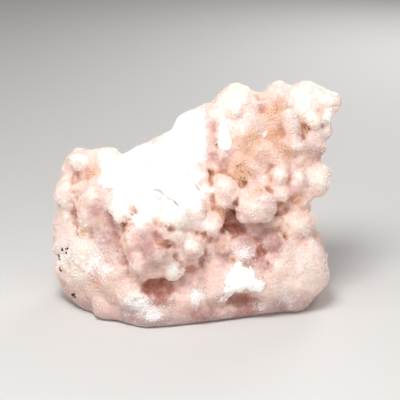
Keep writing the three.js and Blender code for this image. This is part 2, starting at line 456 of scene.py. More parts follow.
class Skin:
    """The surface of a mesh as arrays, in millimetres."""

    def __init__(self, mesh: bpy.types.Mesh) -> None:
        """Reads the mesh.

        Args:
            mesh: The mesh, in metres.
        """
        self.mesh = mesh
        count = len(mesh.vertices)
        flat = np.empty(count * 3)
        mesh.vertices.foreach_get("co", flat)
        self.points = flat.reshape(-1, 3) / MM
        self.normals = self._directions()
        ends = np.empty(len(mesh.edges) * 2, dtype=np.int64)
        mesh.edges.foreach_get("vertices", ends)
        self.ends = ends.reshape(-1, 2)
        self.valence = np.bincount(ends, minlength=count).clip(1)

    def _directions(self) -> np.ndarray:
        """Reads which way the surface faces at each point.

        Returns:
            A row of three numbers for each point.
        """
        flat = np.empty(self.points.size)
        self.mesh.vertex_normals.foreach_get("vector", flat)
        return flat.reshape(-1, 3)

    def eased(self, values: np.ndarray, rounds: int) -> np.ndarray:
        """Averages values with those of their neighbours, round after round.

        Args:
            values: One row of numbers, or one number, for each point.
            rounds: How many times.

        Returns:
            The averaged values, in the same shape.
        """
        near, far = self.ends.T
        rows = values.reshape(len(values), -1).T.copy()
        for _ in range(rounds):
            for k, row in enumerate(rows):
                around = np.bincount(near, row[far], len(row)) + np.bincount(far, row[near], len(row))
                rows[k] = (row + around / self.valence) / 2
        return rows.T.reshape(values.shape)

    def hollowness(self, hollows: Hollows) -> np.ndarray:
        """Measures how far each point lies under the surface eased about it.

        Args:
            hollows: The size and share of the hollows.

        Returns:
            A number for each point, positive in hollows and negative on crests.
        """
        fill = self.eased(self.points, hollows.rounds) - self.points
        return hollows.share * ((fill * self.normals).sum(1) / hollows.depth)

    def waves(self, *layers: Waves) -> np.ndarray:
        """Adds up layers of noise over the points.

        Args:
            *layers: The layers.

        Returns:
            A number for each point.
        """
        total = np.zeros(len(self.points))
        for layer in layers:
            shift = Vector([layer.seed * step for step in SEED_STEPS])
            total += layer.height * wavy(self.points, layer.size, shift)
        return total

    def shares_from(self, place: Spot) -> np.ndarray:
        """Measures how far each point is from the middle of a round place.

        Args:
            place: The round place.

        Returns:
            The distance of each point, as a share of the place's radius.
        """
        return np.linalg.norm(self.points - np.array(place.at), axis=1) / place.radius

    def gathered(self, spots: Iterable[Spot], wander: np.ndarray | float = 0.0) -> np.ndarray:
        """Adds up spots over the points.

        Args:
            spots: The spots.
            wander: How much each point's distance is stretched, so that the spots aren't round.

        Returns:
            The strongest spot's share at each point, from 0 to its strength.
        """
        total = np.zeros(len(self.points))
        for spot in spots:
            away = self.shares_from(spot) + wander
            total = np.maximum(total, soft(away, spot.strength))
        return total

    def laid(self, path: tuple[Point, ...], step: float = 1.0) -> list[np.ndarray]:
        """Lays a line down onto the surface.

        Args:
            path: The corners of the line, in millimetres.
            step: How far apart its new points are, in millimetres.

        Returns:
            The points of the surface that the line now passes through.
        """
        laid: list[np.ndarray] = []
        for start, end in zip(path, path[1:]):
            first, last = np.array(start), np.array(end)
            pieces = max(1, round(float(np.linalg.norm(last - first)) / step))
            for share in np.linspace(0, 1, pieces + 1):
                wished = first + (last - first) * share
                nearest = self.points[np.argmin(np.linalg.norm(self.points - wished, axis=1))]
                if not laid or np.linalg.norm(nearest - laid[-1]) > step / 4:
                    laid.append(nearest)
        return laid

    def away_from(self, path: Sequence[Any]) -> np.ndarray:
        """Measures how far each point is from a line of straight pieces.

        Args:
            path: The corners of the line, in millimetres.

        Returns:
            The distance of each point, in millimetres.
        """
        nearest = np.full(len(self.points), np.inf)
        for start, end in zip(path, path[1:]):
            along = np.array(end) - np.array(start)
            offset = self.points - np.array(start)
            share = np.clip(offset @ along / (along @ along), 0, 1)
            nearest = np.minimum(nearest, np.linalg.norm(offset - share[:, None] * along, axis=1))
        return nearest

    def move(self, points: np.ndarray) -> None:
        """Writes new places for the points back to the mesh.

        Args:
            points: The places, in millimetres.
        """
        self.points = points
        self.mesh.vertices.foreach_set("co", (points * MM).ravel())
        self.mesh.update()
        self.normals = self._directions()

    def read(self, tint: Tint) -> np.ndarray:
        """Reads an attribute of the mesh back.

        Args:
            tint: Which one.

        Returns:
            A number for each point.
        """
        values = np.empty(len(self.points), dtype=np.float32)
        self.mesh.attributes[tint.value].data.foreach_get("value", values)
        return values.astype(float)


class Layers:
    """Colours that are laid over one another in a material's tree."""

    def __init__(self, tree: Tree, first: str) -> None:
        """Starts with the colour at the bottom.

        Args:
            tree: The material's tree.
            first: The colour, as sRGB hex.
        """
        self.tree = tree
        self.colour: Any = linear(first)

    def lay(self, where: Socket, top: str | Socket, start: float, full: float, most: float = 1.0) -> None:
        """Lays one more colour on top where a number is high.

        Args:
            where: The number.
            top: The colour, as sRGB hex or a socket.
            start: The number's value where the colour starts.
            full: The number's value where there is most of it.
            most: How much of it there is there.
        """
        share = add_node(
            self.tree,
            "MapRange",
            {"interpolation_type": "SMOOTHSTEP"},
            {"Value": where, "From Min": start, "From Max": full, "To Min": 0.0, "To Max": most},
        )
        colour = linear(top) if isinstance(top, str) else top
        links = {0: share.outputs["Result"], 6: self.colour, 7: colour}
        self.colour = add_node(self.tree, "Mix", {"data_type": "RGBA"}, links).outputs[2]


def cover(tree: Tree, links: dict[str | int, Any], settings: dict[str, Any] | None = None) -> None:
    """Adds a material's surface and ties it to the output.

    Args:
        tree: The material's tree.
        links: What each input of the surface gets.
        settings: The surface's properties by name.
    """
    surface = add_node(tree, "BsdfPrincipled", settings, links)
    add_node(tree, "OutputMaterial", None, {"Surface": surface.outputs["BSDF"]})


@dataclass(frozen=True)
class MilkyQuartz:
    """Milky quartz (silica), grown from hot water and left as it grew.

    Light goes a few millimetres in, so edges glow and shadows are soft, and the surface is frosted by
    crystals too small to see one by one. The sizes of its patterns are in millimetres.
    """

    name: str = "milky_quartz_as_grown"
    rose: str = "#E9C8C1"
    peach: str = "#ECC9B9"
    cream: str = "#FAEDE4"
    # the colour of the painted shade in the hollows
    hollow: str = "#BC7757"
    iron: str = "#E4B28E"
    umber: str = "#7C4626"
    mauve: str = "#B88781"
    rust: str = "#A85C46"
    # the colour of the painted shade low down
    dusk: str = "#C3A5A2"
    white: str = "#FDFBFA"
    vein: str = "#C9A79C"
    # the veins' colour, partly painted shade in their creases
    crack: str = "#AA948A"
    roughness: float = 0.42
    glow: float = 0.8
    light_depth: float = 2.5
    light_reach: Point = (1.0, 0.55, 0.45)
    clouds: float = 9.0
    mottle: float = 2.2
    speckle: float = 0.6  # how far the mottle breaks up the edges of stains
    # the size of the painted glints that break the white up into specks
    glint_size: float = 0.9
    glint_spread: float = 1.2  # how far the painted glints break up the white frost
    specks: float = 0.7
    more_specks: float = 0.3  # how many more of them there are in full iron
    grit: float = 0.8
    frost: float = 0.5
    frost_height: float = 0.4
    relief: float = 0.22
    bare_relief: float = 0.12
    cracks: float = 14.0
    crack_width: float = 0.02  # as a share of a plate between cracks
    crack_gaps: float = 8.0
    bends: float = 6.0  # from one bend of a crack to the next
    bend: float = 3.5  # how far it bends

    def make(self) -> Material:
        """Builds the material.

        Returns:
            The finished material.
        """
        material, tree, place = clean_material(self.name)
        masks = {
            tint: add_node(tree, "Attribute", {"attribute_name": tint.value}).outputs["Fac"]
            for tint in Tint
        }
        patterns = ((self.clouds, 3.0), (self.mottle, 3.0), (self.specks, 1.0), (self.glint_size, 2.0))
        clouds, mottle, dots, glint_noise = (
            add_node(tree, "TexNoise", None, {"Vector": place, "Scale": per_metre(size), "Detail": detail})
            for size, detail in patterns
        )
        # Painted light and shade by the lie of the surface: cream on the crests, orange-brown in the
        # hollows.
        painted_crest_light = add_node(tree, "Math", {"operation": "MULTIPLY"}, {0: masks[Tint.HOLLOW_SHADE], 1: -1.0})
        layers = Layers(tree, self.rose)
        layers.lay(clouds.outputs["Fac"], self.peach, start=0.35, full=0.65)
        layers.lay(mottle.outputs["Fac"], self.cream, start=0.4, full=0.8, most=0.4)
        # a cream tone with painted highlights
        layers.lay(masks[Tint.PALE_AND_HIGHLIGHT], self.cream, start=0.0, full=1.0, most=0.7)
        layers.lay(painted_crest_light.outputs[0], self.cream, start=0.0, full=0.9, most=0.65)
        layers.lay(masks[Tint.HOLLOW_SHADE], self.hollow, start=0.05, full=0.9, most=0.85)
        # painted shade low down, the mauve tone and the rust stain with their painted shade, then the iron
        # and umber stains
        for tint, code in (
            (Tint.LOW_SHADE, self.dusk),
            (Tint.MAUVE_AND_SHADE, self.mauve),
            (Tint.RUST_AND_SHADE, self.rust),
            (Tint.IRON, self.iron),
            (Tint.UMBER, self.umber),
        ):
            patchy = self._uneven(tree, masks[tint], mottle, self.speckle)
            layers.lay(patchy, code, start=0.15, full=0.95, most=0.85)
        # The iron's brown specks are really 0.2 mm wide, and drawn at 0.7 mm to show.
        sparse = {0: masks[Tint.IRON], 1: self.more_specks, 2: dots.outputs["Fac"]}
        specked = add_node(tree, "Math", {"operation": "MULTIPLY_ADD"}, sparse)
        layers.lay(specked.outputs[0], self.umber, start=0.81, full=0.94, most=0.7)
        # white frost, broken up into painted glints
        white_and_glints = self._uneven(tree, masks[Tint.BLOOM], glint_noise, self.glint_spread)
        layers.lay(white_and_glints, self.white, start=0.15, full=1.1, most=0.9)
        crusted = self._uneven(tree, masks[Tint.BARE], mottle, self.speckle)
        layers.lay(crusted, self._broken(tree, place), start=0.15, full=0.8)
        # the veins: a crack colour, with painted shade that darkens with their depth
        layers.lay(masks[Tint.VEIN_AND_SHADE], self.crack, start=0.1, full=0.9, most=0.9)
        looks = {
            "Base Color": layers.colour,
            "Roughness": self.roughness,
            "IOR": QUARTZ_IOR,
            "Subsurface Weight": self.glow,
            "Subsurface Radius": self.light_reach,
            "Subsurface Scale": self.light_depth * MM,
            "Normal": self._bumps(tree, place, masks[Tint.BARE]),
        }
        cover(tree, looks, {"subsurface_method": "RANDOM_WALK"})
        return material

    @staticmethod
    def _uneven(tree: Tree, mask: Socket, pattern: bpy.types.Node, height: float) -> Socket:
        """Makes a mask patchy by a pattern that adds as much as it takes.

        Args:
            tree: The material's tree.
            mask: The mask.
            pattern: The node of the pattern, which goes from 0 to 1.
            height: From the pattern's lowest to its highest.

        Returns:
            The socket with the patchy mask.
        """
        centred = {0: pattern.outputs["Fac"], 1: height, 2: -height / 2}
        swing = add_node(tree, "Math", {"operation": "MULTIPLY_ADD"}, centred)
        return add_node(tree, "Math", {"operation": "ADD"}, {0: mask, 1: swing.outputs[0]}).outputs[0]

    def _broken(self, tree: Tree, place: Socket) -> Socket:
        """Draws the broken face: white, with a few hairline cracks some 14 mm apart.

        Args:
            tree: The material's tree.
            place: The object coordinates.

        Returns:
            The socket with the colour of the broken face.
        """
        bends = {"Vector": place, "Scale": per_metre(self.bends), "Detail": 2.0}
        drift = add_node(tree, "TexNoise", None, bends).outputs["Color"]
        pull = {0: drift, 1: (self.bend * MM,) * 3, 2: place}
        bent = add_node(tree, "VectorMath", {"operation": "MULTIPLY_ADD"}, pull).outputs[0]
        plates = {"Vector": bent, "Scale": per_metre(self.cracks)}
        cells = add_node(tree, "TexVoronoi", {"feature": "DISTANCE_TO_EDGE"}, plates).outputs["Distance"]
        edge = {"Value": cells, "From Min": 0.0, "From Max": self.crack_width, "To Min": 1.0, "To Max": 0.0}
        near = add_node(tree, "MapRange", None, edge).outputs["Result"]
        gaps = add_node(tree, "TexNoise", None, {"Vector": place, "Scale": per_metre(self.crack_gaps)})
        both = {0: near, 1: gaps.outputs["Fac"]}
        layers = Layers(tree, self.white)
        cracked = add_node(tree, "Math", {"operation": "MULTIPLY"}, both).outputs[0]
        layers.lay(cracked, self.vein, start=0.3, full=0.6, most=0.7)
        return layers.colour

    def _bumps(self, tree: Tree, place: Socket, bare: Socket) -> Socket:
        """Raises the frosting of tiny crystals, real ones of 0.2 mm drawn at four times that to show.

        Args:
            tree: The material's tree.
            place: The object coordinates.
            bare: Where the stone broke.

        Returns:
            The socket with the bumped normal.
        """
        cells = add_node(tree, "TexVoronoi", None, {"Vector": place, "Scale": per_metre(self.grit)})
        frost = {"Vector": place, "Scale": per_metre(self.frost), "Detail": 2.0}
        fine = add_node(tree, "TexNoise", None, frost)
        both = {0: fine.outputs["Fac"], 1: cells.outputs["Distance"]}
        height = add_node(tree, "Math", {"operation": "SUBTRACT"}, both).outputs[0]
        fading = {"Value": bare, "To Min": self.relief, "To Max": self.bare_relief}
        strength = add_node(tree, "MapRange", None, fading).outputs["Result"]
        links = {"Height": height, "Strength": strength, "Distance": self.frost_height * MM}
        return add_node(tree, "Bump", None, links).outputs["Normal"]


@dataclass(frozen=True)
class StudioFloor:
    """Matt painted board, rolled smooth: pale, even and without gloss."""

    name: str = "matt_painted_board"
    colour: str = "#D2D0CE"
    roughness: float = 0.9

    def make(self) -> Material:
        """Builds the material.

        Returns:
            The finished material.
        """
        material, tree, _ = clean_material(self.name)
        cover(tree, {"Base Color": linear(self.colour), "Roughness": self.roughness})
        return material


@dataclass
class Rock:
    """The stone itself, one closed body from its flat foot to the tip of its peak.

    Its places and lengths are in millimetres.
    """

    name: str = "quartz_rock"
    weld: float = 0.001
    voxel: float = 0.6
    melt: int = 26
    blend: int = 5
    knob_splits: int = 3
    margin: float = 0.01
    foot: float = 0.9
    rough_steps: int = 10
    reliefs: tuple[Relief, ...] = (
        Relief("bubbles", Growth.BUBBLED, size=6.0, height=-1.0, level=0.25, soften=3),
        Relief("swells", Growth.CLOUDY, size=9.0, height=1.6, level=0.5),
        Relief("grains", Growth.CLOUDY, size=1.7, height=0.55, level=0.5),
    )
    dent_easing: int = 25
    dent_edges: tuple[Waves, ...] = (Waves(2.6, 0.3, 7), Waves(1.1, 0.15, 8))
    ragged_under: float = 3.0  # wider dents than this have smoother rims
    rub_easing: int = 60
    rub_firmness: float = 2.0
    fine_reach: float = 1.6  # how far from a vein the mesh is made finer
    fine_cuts: int = 2
    vein_edges: Waves = Waves(2.0, 0.25, 9)
    vein_mark: float = 0.25
    deep_mark: float = 1.2  # painted shade: how much darker a vein is for each millimetre of depth
    slope_facing: Point = (-0.43, -0.53, 0.73)
    slope_easing: int = 12
    slope_start: float = 0.35
    slope_span: float = 0.3
    bare_edges: Waves = Waves(4.0, 0.12, 1)
    bare_crumbs: Waves = Waves(2.4, 0.3, 12)
    bare_strength: float = 1.8
    bare_calm: float = 0.8  # how much less the broken face swells
    bare_clean: float = 0.8  # how much less its stains, painted shade and painted highlights are
    cliff_edge: tuple[tuple[float, float], ...] = ((33, 8), (41, 7.5), (50, 4.8), (62, 3.4), (72, 3))
    cliff_wander: Waves = Waves(1.6, 1.0, 10)
    cliff_span: float = 0.8
    tint_edges: tuple[Waves, ...] = (Waves(3.0, 0.25, 2), Waves(1.2, 0.12, 3))
    # the sizes of the hollows that get painted shade, and of the crests that get painted light
    hollows: tuple[Hollows, ...] = (Hollows(0.6, 10, 0.5), Hollows(0.7, 90, 2.2))
    # painted shade: darker towards the bottom and on faces that look down, most on those facing the front
    low_shade_height: float = 11.0
    low_shade_edge: Waves = Waves(9.0, 7.0, 13)
    low_shade_steep: float = 1.2  # the most that a face counts for looking down
    low_shade_beside: float = 0.45
    low_shade_turned: float = 0.6
    low_shade_least: float = 0.1
    sugar_share: float = 0.08
    sugar_least: float = 0.04
    sugar_waves: Waves = Waves(5.0, 0.25, 4)
    veins: tuple[Groove, ...] = (
        Groove(
            ((-13.8, -13.4, 46.3), (-12.6, -13.8, 45.8), (-8.6, -16.4, 43.9), (-5.6, -18.3, 42)), 0.95, 0.4
        ),
        Groove(((-17, -2.8, 52), (-16.5, -7, 50.5), (-14.8, -10.7, 48.3)), 0.7, 0.22),
        Groove(((-8.2, -3.5, 54.8), (-3.4, -8.6, 51.1), (1.3, -10.6, 44.7)), 0.7, 0.22),
        Groove(((-24.3, -2.7, 49.1), (-20.9, -1.6, 50.9)), 0.7, 0.22),
    )
    bare_spots: tuple[Spot, ...] = spots(
        (-13, -4, 50, 17), (-20, -10, 46, 13), (-5, -10, 48, 16), (0, 0, 57, 13), (-4, 8, 58, 12),
        (2, 7, 63, 9), (-20, 2, 52, 12), (-28, -4, 47, 8, 0.8), (-4, -17, 41, 10.5),
        (2, -14.5, 39.5, 5.5, 0.8), (-17, -18, 42, 8, 0.8),
    )
    # a cream tone, with painted highlights on the cluster's three lumps and the lower one's tip, painted
    # warm light under the lip, and painted light on the upper back
    cream_and_highlight_spots: tuple[Spot, ...] = spots(
        (36, -8, 16, 21, 0.8), (-40, -10, 22, 21), (-46, -4, 36, 14, 0.7), (-30, 4, 50, 14),
        (14, 8, 72, 18, 1.1), (8, 5, 67, 9, 0.8), (38, 8, 72, 17, 1.1), (46, 8, 64, 12, 0.9),
        (42, -3, 46, 10, 0.8), (-17, -25, 6, 14, 0.7), (20, -15, 39, 9, 0.4), (8.6, -10, 43, 7, 0.4),
        (29, -6, 47, 7, 0.4), (2, -22, 11, 9, 0.5), (-26, 10, 52, 14), (-24.5, -17, 41, 10, 1.3),
        (-5, -19, 38, 13, 1.2), (3.5, -16, 35, 8, 0.7), (-17.8, -21.5, 36.2, 6, 1.3),
        (-2, -21.5, 29.2, 5.5, 0.9), (-7.8, -25.5, 21.5, 4.5, 1.4), (-12, 13, 56, 14), (0, 16, 64, 13),
        (28, 20, 70, 15, 0.8), (-30, 24, 38, 15, 0.7), (8, 26, 34, 18, 0.7), (30, 24, 14, 16, 0.6),
    )
    # white frost, with painted highlights on the cluster's lumps and the lip's lobes, and a painted glint
    # on the peak
    white_and_glint_spots: tuple[Spot, ...] = spots(
        (-35, -17.5, 21, 6, 0.8), (-30.5, -18, 19, 5, 0.8), (-14.5, -26, 5.5, 5),
        (-19.5, -25.5, 9, 6.5, 1.1), (0, -22.5, 10.5, 5.5), (-7.5, -25.5, 21.5, 4, 0.8),
        (14, 6, 72, 12, 0.35), (38.5, 8, 72, 11, 0.4), (46, 8, 65.5, 5, 0.9), (16, -15, 24, 6, 0.6),
        (38, -6, 29, 6, 0.5), (46, -2, 44, 4, 0.7), (28.3, -7, 49, 3, 0.5), (-24.5, -17, 42, 9, 0.6),
        (-19, -22, 36.5, 3.5, 0.8), (-2, -21.5, 29.5, 4, 0.6), (-47, -5, 18, 8, 0.6), (-47, -3, 36, 8, 0.3),
        (1, -16, 39, 9, 0.3), (3, -13, 42, 6, 0.3), (-8, -21, 39.5, 8, 0.6), (-34, -8, 44, 8, 0.3),
        (35.5, -0.5, 56.5, 3, 0.7), (23.3, 3.4, 60.1, 1.7, 1.3), (16, -16.5, 24, 6.5, 0.7),
        (31, -16, 7.5, 8, 0.55), (22, -18.5, 4.5, 5, 0.5), (-18.8, -21.4, 35.4, 3.4, 0.55),
        (-2.6, -21.5, 29.4, 4, 0.4),
    )
    iron_spots: tuple[Spot, ...] = spots(
        (27, 8, 66, 11, 0.8), (25.5, 10.8, 70.1, 6, 0.5), (36.8, 6.1, 61.5, 5, 1.3),
        (36.3, 5.7, 64.4, 4, 0.9), (27, 3, 60, 8, 0.7), (18, 0, 58, 12, 0.7), (23, -1.5, 54, 9, 0.6),
        (16, -3, 50, 8, 0.9), (21, -11.5, 45.5, 5, 0.8), (30, -1, 56, 9, 0.7), (14, -3, 52, 6, 0.6),
        (16, -5.2, 46, 4.2, 1.2), (35.5, -5, 39.5, 4.5, 0.8), (30, -5.5, 37.5, 4.5, 0.7),
        (37, -9, 24, 4.5, 0.6), (41.5, -2, 24, 4.5, 0.7), (30, -9, 26, 3, 1.1),
        (-23.3, -21, 34.5, 3.2, 0.8), (-23.2, -21.4, 30.5, 3, 0.9), (-23, -21.3, 26.8, 3.4, 0.9),
        (-20.2, -18, 41, 4), (-12, -25, 32, 3.6, 0.7), (-9, -24.5, 30.6, 3.2, 0.7),
        (-33.5, -17.5, 13.5, 7, 0.6), (-35.5, 1, 47, 6, 0.8), (-41, 3.5, 52.5, 4, 0.6),
        (-2.5, -18, 20, 5, 0.6), (-38, -10, 29, 3.5, 0.9), (-6, -23.5, 23, 4, 0.5),
        (0.5, -17, 21.5, 4.5, 0.4), (8.5, -14.5, 26, 8, 0.35), (10, -10.5, 35, 6, 0.9),
    )
    umber_spots: tuple[Spot, ...] = spots(
        (16.8, -5.2, 45.2, 1.7), (4.1, -3.8, 48.8, 1.8, 0.8), (-42, -4.5, 32, 1.8), (-41, -1, 45, 2.5, 0.8),
        (-8.6, -23.5, 30.2, 1.4, 0.5), (30, -8.3, 26.5, 1.8), (24.4, -15.4, 20.1, 1.3, 0.9),
    )
    # the stone's mauve tone with painted shade: in the recesses, under the ball and the peak, over the
    # cluster and low on the foot
    mauve_and_shade_spots: tuple[Spot, ...] = spots(
        (15.1, -6.9, 29.6, 7, 1.1), (23, -8, 28.5, 7, 1.1), (26.5, -13.5, 25.5, 7, 1.1),
        (20.4, -10.5, 29.5, 5, 0.6), (8.1, -14.4, 26.3, 6, 0.4), (9.5, -14.6, 22, 6, 0.8),
        (23.4, -15, 20, 6), (17.6, -15.6, 20, 5, 0.7), (8.8, -2.4, 52.6, 5, 0.8), (6.5, -1.2, 53.5, 4, 0.9),
        (-13, -23, 12.5, 11, 0.7), (-29, -17, 30, 9, 0.7), (-15, -27, 25.5, 8, 0.7), (15, -17, 6, 11, 0.8),
        (30, -15, 3, 8, 0.25), (0, -20, 15, 12, 0.6), (1, -22, 5, 11, 0.9), (17, -18, 2.5, 9),
        (41, 2.5, 53, 7, 0.6), (-33, -13, 38, 8, 0.8), (17, -14, 27.5, 8, 0.8), (-14, -25, 31, 14, 0.85),
        (-2, -20, 27, 7, 0.5), (-28.5, -15.5, 36, 8, 0.85), (-33, -14.5, 33, 7, 0.6),
    )
    # rust stain with painted shade: in the recesses beside the ball and under the cluster, and in the
    # creases between the cluster's lumps
    rust_and_shade_spots: tuple[Spot, ...] = spots(
        (10.5, -9.5, 34.5, 8), (12.3, -8, 30.5, 6, 0.9), (8.8, -12, 31, 4, 0.9), (13.5, -10, 40.9, 3.5),
        (26.8, -6.8, 37, 4.5, 1.3), (33.5, -5.5, 39.5, 4, 0.8), (-14, -21.2, 13.5, 8, 1.2),
        (-9, -22, 13, 6), (-12, -23.5, 10.5, 6, 0.8), (1.4, -16.2, 20.8, 4.5, 1.1),
        (-2, -17.3, 19.1, 5, 1.1), (3.4, -17, 24.5, 3.5, 0.9), (4.5, -15.5, 29, 3, 0.9),
        (8, -14.5, 27, 6, 0.55), (22, -13, 23, 4.5), (11.6, -12.5, 24.5, 3.2, 0.8),
        (15.5, -8.5, 29, 5, 0.8), (20, -14.5, 21.6, 3.5, 0.7), (4.1, -3.8, 48.8, 2.6),
        (36.8, 6.2, 60.5, 2.6, 0.8), (9, -1, 56, 6, 0.35), (19, -12, 26, 8, 0.3), (11, -16.7, 7, 5, 0.6),
        (16, -17, 7.2, 6, 0.8), (-41.5, -3, 34, 4, 0.8), (-37.5, 0.5, 45, 3.5, 0.7),
        (-35.5, -12, 29, 5, 0.5), (-12, -25, 31.8, 3.2, 0.8), (-9.4, -24.6, 30.8, 2.8, 0.9),
        (-14.5, -25, 30.8, 2.6, 0.6), (-6.4, -24.5, 26.4, 2.6, 0.7), (-5.6, -23, 29.4, 2.2, 0.6),
        (-4.8, -23.5, 23.6, 2.4, 0.7), (-7, -23, 29, 2.4, 0.8), (-25.5, -18.5, 36, 4, 0.7),
        (-15, -20.5, 39.2, 3.2, 0.6),
    )
    knobs: tuple[Knob, ...] = (
        # the ball that hangs in the middle, with the two corners of its flat underside
        Knob((19.9, -9.2, 38.6), 6.5), Knob((23, -10.6, 35.9), 3.3), Knob((17, -10.4, 35.7), 3.3),
        # the five-sided knob to the left of it, and its narrow end
        Knob((9.8, -8.4, 44), 4.1, (1, 1, 1.15)), Knob((8.6, -9, 40.4), 3.6), Knob((7.4, 0.2, 51.4), 3.1),
        Knob((16.2, -2.8, 44.8), 2.7),
        # the knobs to the right of it
        Knob((28.5, -3.9, 47.8), 3.1, (1, 1, 1.33)), Knob((28.9, -4.9, 41.4), 3, (1, 1, 1.2)),
        Knob((34.7, -3.9, 45.5), 2.8, (1, 1, 1.25)), Knob((41.7, 0.3, 44.2), 4.9, (1, 1, 1.13)),
        # the smooth wedge under them
        Knob((31.8, -5, 30.2), 3.7, (2.1, 1, 1), 7), Knob((26.6, -6.6, 31.6), 2.7, (1.6, 1, 0.9), 12),
        # the long pod on the peak, what fills the space under it, and the round knob beside it
        Knob((33.2, 3.7, 61), 3.1, (1, 1, 2.2), -17), Knob((35, 3.6, 53.2), 5), Knob((40.2, 6.6, 64), 3.4),
        Knob((36.8, 6.9, 65), 2.6),
        # what straightens the peak's right edge
        Knob((43.8, 9, 63.6), 2.9), Knob((41.2, 6, 54.6), 3.8),
        # the cluster: its upper, lower and right lump, the lower one's bright tip and a bead
        Knob((-17.7, -18.2, 34.3), 5.2, (1.05, 1, 1)), Knob((-14.8, -19.7, 22.2), 6, (1.35, 1, 0.95)),
        Knob((-1.7, -17.2, 27.2), 4.7, (1, 1, 1.05)), Knob((-8, -20.6, 20.8), 4.4),
        Knob((-9.2, -22.6, 33), 1.3), Knob((-10, -20.4, 31), 4.7),
        # the lobes along the lip of the broken face, and its tongue
        Knob((-25.2, -12.2, 40.6), 4.6, (1, 1, 1.15)), Knob((-9.2, -16.4, 39.8), 4.6, (1.1, 1, 1)),
        Knob((-5.6, -17, 38.6), 4.2), Knob((0, -14.2, 38.2), 3.6, (1, 1, 1.2)),
        Knob((4.4, -14.2, 32.2), 3, (1, 1, 1.1)),
        # the lumps in the recess right of the tongue
        Knob((8.7, -11.2, 25.6), 4.4, (1, 1, 1.25)), Knob((16.2, -11.4, 23.2), 5.2),
        Knob((13.9, -12.4, 25), 3, (1, 1, 1.2)), Knob((18.4, -12.6, 22), 3),
        Knob((26, -8.6, 24.8), 5.2, (1, 1, 0.9)), Knob((20.6, -7, 29.8), 4.4, (1.5, 1, 0.9)),
        Knob((22.6, -11.6, 18.8), 2.6), Knob((12.5, -1.5, 32.5), 6.5),
        # the left shoulder, the foot's front and the bright swelling on it
        Knob((-45, 1.9, 40.2), 3.7), Knob((-44.2, 2.2, 43.2), 3.1), Knob((-40.4, 2, 50.2), 3.3),
        Knob((-32.6, -13.6, 19.2), 5), Knob((-0.5, -15.5, 9.6), 7),
    )
    dents: tuple[Spot, ...] = spots(
        (-20.2, -19, 40, 3.2, 1.8), (-20.5, -24, 15.5, 7, 1.6), (-12.3, -18.8, 12.8, 6.5, -0.7),
        (0, -17, 20.5, 4.5, -1.4), (8, -17.5, 7, 6, -1.6), (17, -17.5, 6.5, 5, 0.9),
        (13, -17.5, 4, 2.6, -0.8), (20.5, -17.5, 5, 2.6, 0.6), (36.1, 5.6, 59.7, 3.2, 0.4),
        (44, 6.3, 62.4, 2.6, 0.9), (30, -8.6, 26.4, 2.4, 1.4), (4.8, -4.2, 48.9, 2, 0.9),
        (36.5, -5, 39.3, 4.5, 1.4), (20.8, -7, 48, 4, 1.2), (28.3, -6.4, 37.2, 2.6, 1.6),
        (9.6, -11.5, 35, 4.8, 0.5), (9.4, -13, 31.4, 3.6, 1.4), (12.5, -12.5, 27, 2.6, 0.8),
        (22.4, -3.6, 54.6, 5, 1), (13.8, 4.4, 66.9, 3, -0.8),
        # the scoops of the broken back
        (24, 24, 54, 16, 3.4), (-2, 26, 38, 13, 2.6), (-24, 24, 20, 14, 3), (12, 28, 16, 16, 3.4),
        (36, 24, 26, 10, 2.5), (-38, 22, 36, 8, 2.5), (6, 20, 60, 9, 2.5),
    )
